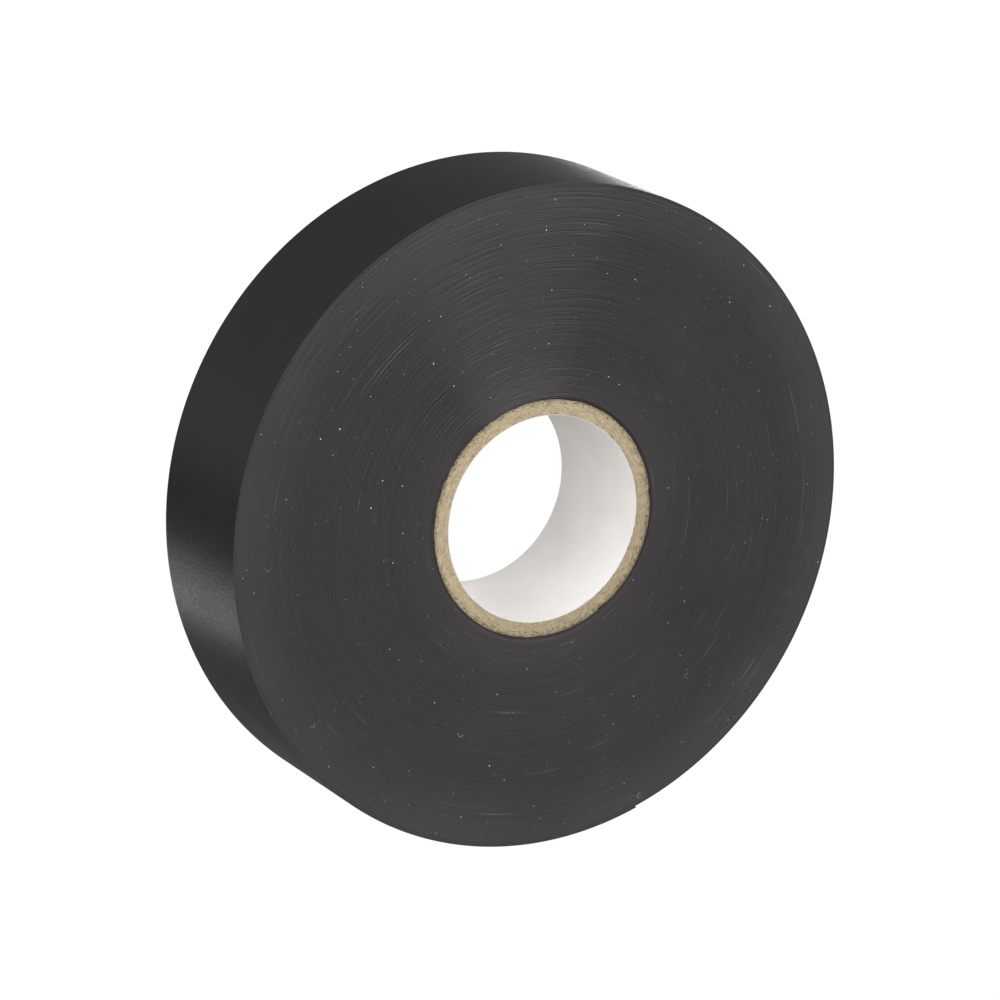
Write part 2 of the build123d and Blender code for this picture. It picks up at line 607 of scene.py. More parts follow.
@dataclass
class WoundTape:
    """The tape: its wound turns in rings, its start on the core, its outer turn and its free end."""

    winding: Winding
    relief: EdgeRelief
    finishes: TapeFinishes
    bands: int = 3
    columns: int = 288
    outer_stations: int = 576
    length_stations: int = 26
    across: int = 13
    turns_crease: float = 75.0
    length_crease: float = 50.0
    blend_margin: float = 0.02

    def __post_init__(self) -> None:
        """Finds the hinges in the frame and builds the two trees that make every length."""
        winding, joints = self.winding, frame["joints"]
        self.place_tree = winding_group(winding)
        self.relief_tree = self.relief.group()
        self.hinges = [winding.place_near_end(Vector(joint["pos_m"])) for joint in joints]
        self.bodies = [joints[0]["parent"]] + [joint["child"] for joint in joints]
        couplings = frame["record"]["behaviour"]["couplings"]
        followers = {row["joint"] for row in couplings}
        self.leads = [joint["name"] not in followers for joint in joints]
        ends = self.hinges + [float(winding.half_turns)]
        middles = [(ends[i] + ends[i + 1]) / 2 for i in range(len(joints))]
        first = self.hinges[0] - (middles[0] - self.hinges[0])
        self.cuts = [first, *middles, float(winding.half_turns)]
        self.turns_tree = self._turns_tree()
        self.length_tree = self._length_tree()

    def _relief_at(
        self, graph: Graph, along: Value, side: Value, inlet: dict
    ) -> tuple[Value, Value, Value]:
        """Depth of the tape's edge at a place along it, how slack it is and how far it slipped."""
        inputs = {
            "Along": along,
            "Side": side,
            "Wander": inlet["Wander"],
            "Sunk": inlet["Sunk"],
            "End Angle": self.winding.end_angle,
            "Seed": inlet["Seed"],
        }
        return group_values(graph, self.relief_tree, inputs)

    def _shared_inputs(self) -> dict[str, tuple[Plug, object]]:
        """Inputs that both trees have."""
        return {
            "Width": (Plug.NUMBER, self.winding.width),
            "Adhesive": (Plug.NUMBER, self.winding.adhesive),
            "Thickness": (Plug.NUMBER, self.winding.thickness),
            "Pitch": (Plug.NUMBER, self.winding.pitch),
            "Wander": (Plug.NUMBER, self.relief.wander),
            "Sunk": (Plug.NUMBER, self.relief.sunk),
            "Seed": (Plug.NUMBER, self.relief.seed),
            "Film": (Plug.MATERIAL, None),
            "Cut Edge": (Plug.MATERIAL, None),
        }

    def _turns_tree(self) -> bpy.types.NodeTree:
        """Builds the tree for a ring of wound turns.

        An unrolled block has a column for each step round the roll and three layers for each turn:
        the film's inner edge, its outer edge and the groove before the next turn. It is wound up
        so that its last column lies one turn further out than its first, and welded there.
        """
        inputs = self._shared_inputs() | {
            "First Place": (Plug.NUMBER, 0.0),
            "Layers": (Plug.COUNT, 30),
            "Columns": (Plug.COUNT, self.columns),
            "Groove": (Plug.NUMBER, self.relief.groove),
            "Inner Dip": (Plug.NUMBER, self.relief.inner_dip),
            "Map Radius": (Plug.NUMBER, 0.05),
        }
        graph, inlet, exit_node = new_tree("Wound Turns", inputs)
        block, x, y, z = unit_block(graph, inlet["Columns"], 2, inlet["Layers"] + 1.0)
        mesh = block_kinds(graph, block, x, z)

        layer = graph.math("ROUND", (z + 0.5) * inlet["Layers"])
        turn = graph.math("FLOOR", (layer + 0.5) / 3.0)
        part = layer - turn * 3.0
        place = inlet["First Place"] + (turn + x + 0.5) * 2.0
        outer_edge = graph.math("COMPARE", part, 1.0, 0.1)
        in_groove = graph.math("COMPARE", part, 2.0, 0.1)
        groove_height = (inlet["Thickness"] + inlet["Pitch"] + inlet["Adhesive"]) * 0.5
        height = inlet["Adhesive"] + outer_edge * (inlet["Thickness"] - inlet["Adhesive"])
        height = height + in_groove * (groove_height - inlet["Adhesive"])

        along = place * 0.5
        side = graph.math("SIGN", y)
        depth, slack, slip = self._relief_at(graph, along, side, inlet)
        cut = graph.smooth(graph.line_noise(along + side * 77.0, 17.0, 2.0), 0.38, 0.70)
        cut = graph.between(cut, 0.30, 1.6) * graph.between(slack, 0.28, 1.0)
        near_core = 1.0 - graph.smooth(along, 0.1, 1.3)
        depth = depth + in_groove * inlet["Groove"] * cut + near_core * inlet["Inner Dip"]
        # Painted shade: the groove points between turns, more where a turn slipped, carry a share
        # that darkens their colour.
        painted_groove_shade = in_groove * (cut * 0.5 + slip * 0.9)
        across = y * (inlet["Width"] - depth * 2.0)
        placed = use_group(
            graph, self.place_tree, {"Place": place, "Height": height, "Across": across}
        )
        radius = Value(graph, placed.outputs["Radius"])
        angle = Value(graph, placed.outputs["Angle"])

        # The last column meets the first one turn in, so their shared ends are dropped.
        at_end = is_kind(graph, Kind.END)
        last_layer = inlet["Layers"] - 3.0
        middle_layer = (z + 0.5) * inlet["Layers"]
        first_end = graph.math("LESS_THAN", x, 0.0) * graph.math("GREATER_THAN", middle_layer, 3.0)
        last_end = graph.math("GREATER_THAN", x, 0.0) * graph.math(
            "LESS_THAN", middle_layer, last_layer
        )
        mesh = graph.node(
            "GeometryNodeDeleteGeometry",
            {"Geometry": mesh, "Selection": at_end * (first_end + last_end)},
            domain="FACE",
        ).outputs[0]

        mesh = store(graph, mesh, "along_tape", along, "FLOAT", "POINT")
        mesh = store(graph, mesh, "painted_groove_shade", painted_groove_shade, "FLOAT", "POINT")
        bake_place = self._bake_place(graph, inlet, x, y, radius, angle)
        mesh = store(graph, mesh, "OFBake", bake_place, "FLOAT2", "CORNER")
        mesh = move_points(graph, mesh, placed.outputs["Point"])
        weld = 0.002 * MM
        mesh = graph.node("GeometryNodeMergeByDistance", {"Geometry": mesh, "Distance": weld})
        walls = is_kind(graph, Kind.TOP) + is_kind(graph, Kind.UNDER)
        finishes = [(True, inlet["Cut Edge"]), (walls, inlet["Film"])]
        return end_tree(graph, exit_node, mesh.outputs[0], finishes)

    @staticmethod
    def _bake_place(
        graph: Graph, inlet: dict, x: Value, y: Value, radius: Value, angle: Value
    ) -> object:
        """Lays the side faces out as two discs and the walls as strips, for texture baking."""
        scale = radius / inlet["Map Radius"] * 0.235
        front = graph.math("LESS_THAN", y, 0.0)
        disc_u = 0.75 - front * 0.5 + scale * graph.math("COSINE", angle)
        disc_v = 0.25 + scale * graph.math("SINE", angle)
        wall = is_kind(graph, Kind.TOP) + is_kind(graph, Kind.UNDER)
        strip_u = (x + 0.5) * 0.98 + 0.01
        strip_v = 0.56 + is_kind(graph, Kind.TOP) * 0.1 + (y + 0.5) * 0.06
        strip_v = strip_v + is_kind(graph, Kind.TOP) * (y + 0.5) * 0.25
        end = is_kind(graph, Kind.END)
        side = 1.0 - wall - end
        u = side * disc_u + wall * strip_u + end * (0.46 + y * 0.03)
        v = side * disc_v + wall * strip_v + end * (0.525 + x * 0.01)
        return graph.combine(u, v, 0.0)

    def _length_tree(self) -> bpy.types.NodeTree:
        """Builds the tree for one length of tape, film on adhesive, from place to place."""
        inputs = self._shared_inputs() | {
            "From": (Plug.NUMBER, 0.0),
            "To": (Plug.NUMBER, 1.0),
            "Lowered": (Plug.NUMBER, 0.0),
            "Stations": (Plug.COUNT, self.length_stations),
            "Rows": (Plug.COUNT, self.across),
            "Underside": (Plug.MATERIAL, None),
        }
        graph, inlet, exit_node = new_tree("Tape Length", inputs)
        block, x, y, z = unit_block(graph, inlet["Stations"], inlet["Rows"], 3)
        mesh = block_kinds(graph, block, x, z)
        place = inlet["From"] + (x + 0.5) * (inlet["To"] - inlet["From"])
        film = inlet["Thickness"] - inlet["Adhesive"]
        height = graph.math("MINIMUM", z + 0.5, 0.5) * inlet["Adhesive"] * 2.0
        height = height + graph.math("MAXIMUM", z, 0.0) * film * 2.0 - inlet["Lowered"]
        along = place * 0.5
        depth, _, _ = self._relief_at(graph, along, graph.math("SIGN", y), inlet)
        across = y * (inlet["Width"] - depth * 2.0)
        placed = use_group(
            graph, self.place_tree, {"Place": place, "Height": height, "Across": across}
        )
        mesh = store(graph, mesh, "along_tape", along, "FLOAT", "POINT")
        mesh = move_points(graph, mesh, placed.outputs["Point"])
        finishes = [
            (True, inlet["Cut Edge"]),
            (is_kind(graph, Kind.TOP), inlet["Film"]),
            (is_kind(graph, Kind.UNDER), inlet["Underside"]),
        ]
        return end_tree(graph, exit_node, mesh, finishes)

    def _length(self, name: str, start: float, end: float, stations: int) -> bpy.types.Object:
        """Makes one length of tape.

        Args:
            name: The piece's name.
            start: Where it starts, in half turns.
            end: Where it ends.
            stations: How many steps it has.

        Returns:
            The piece.
        """
        inputs = {
            "From": start,
            "To": end,
            "Stations": stations,
            "Film": self.finishes.film,
            "Cut Edge": self.finishes.edge,
            "Underside": self.finishes.adhesive,
        }
        piece = grow(name, self.length_tree, inputs)
        smooth_mesh(piece, self.length_crease)
        return piece

    def build_turns(self) -> None:
        """Makes the wound turns in rings that ride on the roll."""
        turns = self.winding.half_turns // 2 - 1
        end = self.cuts[0] - 2.0
        share = turns // self.bands
        for band in range(self.bands):
            last = band == self.bands - 1
            count = turns - band * share if last else share
            first_place = end - 2.0 * (turns - band * share)
            layers = count * 3 - 2 if last else count * 3
            inputs = {
                "First Place": first_place,
                "Layers": layers,
                "Map Radius": self.winding.radius(first_place + 2.0 * (count + 1), 0.0),
                "Film": self.finishes.film,
                "Cut Edge": self.finishes.edge,
            }
            piece = grow(f"wound_turns_{band + 1}", self.turns_tree, inputs)
            smooth_mesh(piece, self.turns_crease)
            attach(piece, self.bodies[0])
            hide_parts("wound_turns")
            report(piece, self.bodies[0])

    def build_core_wrap(self) -> None:
        """Makes the adhesive that fills the wedge between the round core and the first turn.

        Its underside is lowered past the core, so the winding stops it at the core's surface.
        """
        winding = self.winding
        lowered = 1.5 * winding.pitch
        inset = 1.5 * self.relief.inner_dip  # further in than the first turns' dipped edges
        inputs = {
            "Width": winding.width - 2.0 * inset,
            "From": 0.0,
            "To": 2.0,
            "Lowered": lowered,
            "Adhesive": lowered + winding.adhesive / 2,
            "Thickness": lowered + winding.adhesive,
            "Stations": self.columns,
            "Film": self.finishes.adhesive,
            "Cut Edge": self.finishes.edge,
            "Underside": self.finishes.adhesive,
        }
        piece = grow("core_wrap", self.length_tree, inputs)
        smooth_mesh(piece, self.length_crease)
        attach(piece, self.bodies[0])
        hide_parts("wound_turns")
        report(piece, self.bodies[0])

    def build_outer_turn(self) -> None:
        """Makes the outer turn, up to where the free end starts to lift."""
        piece = self._length("outer_turn", self.cuts[0] - 2.0, self.cuts[0], self.outer_stations)
        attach(piece, self.bodies[0])
        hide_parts("outer_turn_backing", "outer_turn_adhesive")
        report(piece, self.bodies[0])

    def build_free_end(self) -> None:
        """Makes the free end: a length over each hinge, and the cut end."""
        for i, hinge in enumerate(self.hinges):
            before, after = self.bodies[i], self.bodies[i + 1]
            start, end = self.cuts[i], self.cuts[i + 1]
            piece = self._length(f"{after}_bend", start, end, self.length_stations)
            margin = (end - start) * self.blend_margin
            # Where a lift begins, the bend's start is taken at the hinge.
            bend_start = hinge if self.leads[i] else start + margin
            from_point = self.winding.point(bend_start, self.winding.thickness)
            to_point = self.winding.point(end - margin, self.winding.thickness)
            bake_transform(piece)
            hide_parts(f"{after}_backing", f"{after}_adhesive")
            report(piece, f"{before} and {after}")
        last = self.bodies[-1]
        piece = self._length("tape_end", self.cuts[-2], self.cuts[-1], self.length_stations // 2)
        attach(piece, last)
        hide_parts(f"{last}_backing", f"{last}_adhesive")
        report(piece, last)


# ---------------------------------------------------------------------------------------------
# The core
# ---------------------------------------------------------------------------------------------


@dataclass
class Core:
    """The core: a paper liner inside chipboard plies, each a strip wound at a slant."""

    board: bpy.types.Material
    paper: bpy.types.Material
    seam_gap: float = 0.06 * MM
    seam_tilt: float = math.radians(48.0)
    liner_seam: float = math.radians(150.0)
    seam_step: float = math.radians(75.0)
    columns: int = 360
    rows: int = 9
    plies: int = 4
    liner_ragged: float = 0.20 * MM
    board_ragged: float = 0.10 * MM
    liner_short: float = 0.04 * MM
    outer_fray: float = 0.14 * MM
    crease: float = 60.0

    def tree(self) -> bpy.types.NodeTree:
        """Builds the tree for one ply: a strip bent round the axis, its cut ends a little torn."""
        inputs = {
            "Inner Radius": (Plug.NUMBER, 0.013),
            "Outer Radius": (Plug.NUMBER, 0.0135),
            "Width": (Plug.NUMBER, 0.019),
            "Seam Angle": (Plug.NUMBER, 0.0),
            "Seam Tilt": (Plug.NUMBER, self.seam_tilt),
            "Seam Gap": (Plug.NUMBER, self.seam_gap),
            "Ragged": (Plug.NUMBER, 0.04 * MM),
            "Short": (Plug.NUMBER, 0.0),
            "Fray": (Plug.NUMBER, 0.0),
            "Columns": (Plug.COUNT, self.columns),
            "Rows": (Plug.COUNT, self.rows),
            "Layers": (Plug.COUNT, 3),
            "Seed": (Plug.NUMBER, 1.0),
            "Finish": (Plug.MATERIAL, None),
        }
        graph, inlet, exit_node = new_tree("Core Ply", inputs)
        block, x, y, z = unit_block(graph, inlet["Columns"], inlet["Rows"], inlet["Layers"])
        twist = graph.math("TANGENT", inlet["Seam Tilt"]) / inlet["Inner Radius"]
        sweep = 2 * math.pi - inlet["Seam Gap"] / inlet["Inner Radius"]
        slant = (y + 0.5) * inlet["Width"] * twist
        angle = inlet["Seam Angle"] + (x + 0.5) * sweep - slant
        cosine, sine = graph.math("COSINE", angle), graph.math("SINE", angle)
        depth_share = z + 0.5
        flat = inlet["Inner Radius"] + depth_share * (inlet["Outer Radius"] - inlet["Inner Radius"])
        seed_shift = inlet["Seed"] * 3.1
        spot = graph.combine(flat * cosine, y * 0.02 + seed_shift, flat * sine)
        torn = graph.noise(spot, 2600.0, 3.0, 0.65)
        side = graph.math("ABSOLUTE", y) * 2.0
        chipped = graph.smooth(graph.noise(spot, 420.0, 2.0), 0.55, 0.75)
        near_end = graph.smooth(side, 0.97, 1.0)
        outermost = graph.smooth(depth_share, 0.5, 1.0)
        radius = flat - outermost * near_end * inlet["Fray"] * chipped
        depth = inlet["Short"] + inlet["Ragged"] * torn + outermost * inlet["Fray"] * chipped
        across = y * (inlet["Width"] - depth * 2.0)
        place = graph.combine(radius * cosine, across, radius * sine)
        mesh = move_points(graph, block, place)
        return end_tree(graph, exit_node, mesh, [(True, inlet["Finish"])])

    def build(self, body: str) -> None:
        """Makes the liner and the plies.

        Args:
            body: The body that they ride on.
        """
        tree = self.tree()
        bore, liner_radius = self.liner_radii()
        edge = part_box("core_ply_4")[1].z
        step = (edge - liner_radius) / self.plies
        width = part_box("core_liner")[1].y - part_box("core_liner")[0].y
        radii = [bore] + [liner_radius + i * step for i in range(self.plies + 1)]
        for i in range(self.plies + 1):
            node = "core_liner" if i == 0 else f"core_ply_{i}"
            inputs = {
                "Inner Radius": radii[i],
                "Outer Radius": radii[i + 1],
                "Width": width,
                "Seam Angle": self.liner_seam + i * self.seam_step,
                "Ragged": self.liner_ragged if i == 0 else self.board_ragged,
                "Short": self.liner_short if i == 0 else 0.0,
                "Fray": self.outer_fray if i == self.plies else 0.0,
                "Seed": float(i + 1),
                "Finish": self.paper if i == 0 else self.board,
            }
            name = "liner" if i == 0 else f"board_ply_{i}"
            piece = grow(name, tree, inputs)
            smooth_mesh(piece, self.crease)
            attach(piece, body)
            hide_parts(node)
            report(piece, body)

    @staticmethod
    def liner_radii() -> tuple[float, float]:
        """Inner and outer radius of the liner, as the frame has them."""
        mesh = frame["nodes"]["core_liner"].data
        radii = [math.hypot(vertex.co.x, vertex.co.z) for vertex in mesh.vertices]
        return min(radii), max(radii)


# ---------------------------------------------------------------------------------------------
# Dust
# ---------------------------------------------------------------------------------------------


@dataclass
class Dust:
    """White specks and fine lint that lie on the side faces."""

    speck_finish: bpy.types.Material
    lint_finish: bpy.types.Material
    inner_radius: float
    outer_radius: float
    half_width: float
    specks: int = 620
    speck_size: float = 0.12 * MM
    hairs: int = 54
    hair_length: float = 0.75 * MM
    inset: float = 0.02 * MM
    crease: float = 80.0

    def _scatter(self, graph: Graph, inlet: dict) -> tuple[object, Callable[[float], Value]]:
        """Spreads points over a side face.

        Args:
            graph: The tree.
            inlet: The tree's inputs.

        Returns:
            The points, and a function that draws a number from 0 to 1 for each of them.
        """
        index = graph.node("GeometryNodeInputIndex").outputs[0]

        def random(shift: float) -> Value:
            """Draws a number for each point. Each shift of the seed is another draw."""
            inputs = {7: index, 8: inlet["Seed"] + shift}
            made = graph.node("FunctionNodeRandomValue", inputs, data_type="FLOAT")
            return Value(graph, made.outputs[1])

        inner, outer = inlet["Inner Radius"], inlet["Outer Radius"]
        area = graph.between(random(1.0), inner * inner, outer * outer)
        radius = graph.math("SQRT", area)
        angle = random(2.0) * (2 * math.pi)
        place = graph.combine(
            radius * graph.math("COSINE", angle), inlet["Plane"], radius * graph.math("SINE", angle)
        )
        points = graph.node(
            "GeometryNodePoints", {"Count": inlet["Count"], "Position": place}
        ).outputs[0]
        return points, random

    def _inputs(self) -> dict[str, tuple[Plug, object]]:
        """Inputs that both trees have."""
        return {
            "Count": (Plug.COUNT, 100),
            "Inner Radius": (Plug.NUMBER, self.inner_radius),
            "Outer Radius": (Plug.NUMBER, self.outer_radius),
            "Plane": (Plug.NUMBER, 0.0),
            "Size": (Plug.NUMBER, 0.1 * MM),
            "Seed": (Plug.COUNT, 1),
            "Finish": (Plug.MATERIAL, None),
        }

    def speck_tree(self) -> bpy.types.NodeTree:
        """Builds the tree for specks: flat crumbs of many sizes."""
        graph, inlet, exit_node = new_tree("Dust Specks", self._inputs())
        points, random = self._scatter(graph, inlet)
        crumb = graph.node("GeometryNodeMeshIcoSphere", {"Radius": 0.5, "Subdivisions": 1})
        length = graph.math("POWER", random(3.0), 5.0) * 2.0 + 0.45
        thin = random(4.0) * 0.5 + 0.45
        size = graph.combine(
            inlet["Size"] * length, inlet["Size"] * 0.4, inlet["Size"] * length * thin
        )
        turned = graph.combine(0.0, random(5.0) * (2 * math.pi), 0.0)
        placed = graph.node(
            "GeometryNodeInstanceOnPoints",
            {"Points": points, "Instance": crumb.outputs[0], "Rotation": turned, "Scale": size},
        ).outputs[0]
        return end_tree(graph, exit_node, placed, [(True, inlet["Finish"])])

    def lint_tree(self) -> bpy.types.NodeTree:
        """Builds the tree for lint: thin curled hairs."""
        graph, inlet, exit_node = new_tree("Lint", self._inputs())
        points, random = self._scatter(graph, inlet)
        hair = graph.node(
            "GeometryNodeCurveQuadraticBezier",
            {
                "Resolution": 8,
                "Start": (-0.5, 0.0, -0.1),
                "Middle": (0.75, 0.0, 0.0),
                "End": (0.05, 0.0, 0.5),
            },
        ).outputs[0]
        round_ = graph.node(
            "GeometryNodeCurvePrimitiveCircle", {"Resolution": 5, "Radius": 0.024}
        ).outputs[0]
        strand = graph.node(
            "GeometryNodeCurveToMesh", {"Curve": hair, "Profile Curve": round_, "Fill Caps": True}
        ).outputs[0]
        length = inlet["Size"] * (random(3.0) * 0.9 + 0.35)
        hook, curl = random(7.0) * 0.9 + 0.3, random(6.0) * 1.3 + 0.1
        size = graph.combine(length * hook, length, length * curl)
        turned = graph.combine(0.0, random(5.0) * (2 * math.pi), 0.0)
        placed = graph.node(
            "GeometryNodeInstanceOnPoints",
            {"Points": points, "Instance": strand, "Rotation": turned, "Scale": size},
        ).outputs[0]
        return end_tree(graph, exit_node, placed, [(True, inlet["Finish"])])

    def build(self, body: str) -> None:
        """Scatters specks and lint on both side faces.

        Args:
            body: The body that they ride on.
        """
        specks, lint = self.speck_tree(), self.lint_tree()
        for side, sign, seed in (("front", -1.0, 5), ("rear", 1.0, 60)):
            plane = sign * (self.half_width - self.inset)
            rows = (
                (f"specks_{side}", specks, self.specks, self.speck_size, self.speck_finish, seed),
                (f"lint_{side}", lint, self.hairs, self.hair_length, self.lint_finish, seed + 20),
            )
            for name, tree, count, size, finish, number in rows:
                inputs = {
                    "Count": count,
                    "Plane": plane,
                    "Size": size,
                    "Seed": number,
                    "Finish": finish,
                }
                piece = grow(name, tree, inputs)
                smooth_mesh(piece, self.crease)
                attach(piece, body)
                report(piece, body)


# ---------------------------------------------------------------------------------------------
# Finishes
# ---------------------------------------------------------------------------------------------


@dataclass
class Shading:
    """The shader groups that several materials share."""

    grain_size: float = 0.2 * MM
    cloud_size: float = 8.0 * MM
    dust_spacing: float = 1.1 * MM

    def __post_init__(self) -> None:
        """Builds each group once."""
        self.polar = self._polar()
        self.grain = self._grain()
        self.arcs = self._arcs()
        self.dust = self._dust()

    @staticmethod
    def _polar() -> bpy.types.NodeTree:
        """Distance from the roll's axis in millimetres, and the direction from it."""
        outputs = {"Radius": Plug.NUMBER, "Cosine": Plug.NUMBER, "Sine": Plug.NUMBER}
        inputs = {"Scale": (Plug.NUMBER, 1000.0)}
        graph, inlet, exit_node = new_group("Polar", "ShaderNodeTree", inputs, outputs)
        x, _, z = graph.separate(graph.node("ShaderNodeTexCoord").outputs["Object"])
        length = graph.math("SQRT", x * x + z * z)
        safe = graph.math("MAXIMUM", length, 1e-6)
        found = {"Radius": length * inlet["Scale"], "Cosine": x / safe, "Sine": z / safe}
        return graph.put_out(exit_node, found)

    def _grain(self) -> bpy.types.NodeTree:
        """Fine plastic grain: a height, and a cloudy tone."""
        inputs = {
            "Fineness": (Plug.NUMBER, 1.0 / self.grain_size),
            "Cloud": (Plug.NUMBER, 1.0 / self.cloud_size),
        }
        outputs = {"Height": Plug.NUMBER, "Tone": Plug.NUMBER}
        graph, inlet, exit_node = new_group("Plastic Grain", "ShaderNodeTree", inputs, outputs)
        spot = graph.node("ShaderNodeTexCoord").outputs["Object"]
        fine = graph.noise(spot, inlet["Fineness"], 3.0, 0.6)
        cloud = graph.noise(spot, inlet["Cloud"], 3.0)
        return graph.put_out(exit_node, {"Height": fine, "Tone": cloud})

    def _arcs(self) -> bpy.types.NodeTree:
        """Thin broken arcs round the axis: scuffs, and painted glints where the edges of single turns
        catch the light.
        """
        inputs = {
            "Fineness": (Plug.NUMBER, 6.0),
            "Length": (Plug.NUMBER, 3.0),
            "Rarity": (Plug.NUMBER, 0.7),
            "Seed": (Plug.NUMBER, 0.0),
        }
        graph, inlet, exit_node = new_group(
            "Arc Marks", "ShaderNodeTree", inputs, {"Mask": Plug.NUMBER}
        )
        radius, cosine, sine = group_values(graph, self.polar, {})
        spot = graph.combine(
            radius * inlet["Fineness"] + inlet["Seed"] * 19.0,
            cosine * inlet["Length"] + inlet["Seed"] * 7.0,
            sine * inlet["Length"],
        )
        field = graph.noise(spot, 1.0, 1.0)
        softness = 0.06
        mask = graph.smooth(field, inlet["Rarity"], inlet["Rarity"] + softness)
        return graph.put_out(exit_node, {"Mask": mask})

    def _dust(self) -> bpy.types.NodeTree:
        """Powdery dust: scattered fine dots."""
        inputs = {
            "Spacing": (Plug.NUMBER, 1.0 / self.dust_spacing),
            "Size": (Plug.NUMBER, 0.12),
            "Rarity": (Plug.NUMBER, 0.75),
        }
        graph, inlet, exit_node = new_group(
            "Powder Dust", "ShaderNodeTree", inputs, {"Mask": Plug.NUMBER}
        )
        spot = graph.node("ShaderNodeTexCoord").outputs["Object"]
        cells = graph.node(
            "ShaderNodeTexVoronoi", {"Vector": spot, "Scale": inlet["Spacing"]}, feature="F1"
        )
        distance = Value(graph, cells.outputs["Distance"])
        lottery, size_draw, _ = graph.separate(cells.outputs["Color"])
        chosen = graph.math("GREATER_THAN", lottery, inlet["Rarity"])
        reach = inlet["Size"] * (size_draw * 0.8 + 0.4)
        dot = graph.math("LESS_THAN", distance, reach)
        return graph.put_out(exit_node, {"Mask": chosen * dot})


def new_material(
    name: str, roughness: float | None, specular: float
) -> tuple[bpy.types.Material, Graph, bpy.types.Node]:
    """Makes a material with a Principled shader.

    Args:
        name: The material's name.
        roughness: Its roughness, where that is the same all over.
        specular: Its specular level.

    Returns:
        The material, its graph and its shader node.
    """
    material = bpy.data.materials.new(name)
    material.use_nodes = True
    graph = Graph(material.node_tree)
    shader = next(n for n in material.node_tree.nodes if n.type == "BSDF_PRINCIPLED")
    if roughness is not None:
        shader.inputs["Roughness"].default_value = roughness
    shader.inputs["Specular IOR Level"].default_value = specular
    return material, graph, shader


def add_bump(graph: Graph, shader: object, height: Value, depth: float, strength: float) -> None:
    """Gives a shader its fine surface.

    Args:
        graph: The material's graph.
        shader: The Principled node.
        height: Height from 0 to 1.
        depth: What a height of 1 is, in metres.
        strength: How much of it shows.
    """
    bump = graph.node(
        "ShaderNodeBump", {"Height": height, "Distance": depth, "Strength": strength}
    )
    graph.feed(shader.inputs["Normal"], bump.outputs[0])


@dataclass(frozen=True)
class FilmFinish:
    """The tape's outer face: calendered vinyl, nearly black, with a satin sheen."""

    colour: tuple[float, float, float, float] = (0.0095, 0.0080, 0.0090, 1.0)
    pale: tuple[float, float, float, float] = (0.0140, 0.0120, 0.0132, 1.0)
    roughness: float = 0.31
    specular: float = 0.2

    def make(self, shading: Shading) -> bpy.types.Material:
        """Builds the material."""
        material, graph, shader = new_material("vinyl film", None, self.specular)
        grain = {"Fineness": 7400.0, "Cloud": 70.0}
        height, cloud = group_values(graph, shading.grain, grain)
        colour = graph.colour_mix(cloud, self.colour, self.pale)
        graph.feed(shader.inputs["Base Color"], colour)
        rough = self.roughness + (cloud - 0.5) * 0.08 + (height - 0.5) * 0.5
        graph.feed(shader.inputs["Roughness"], rough)
        add_bump(graph, shader, height, 0.011 * MM, 0.7)
        return material


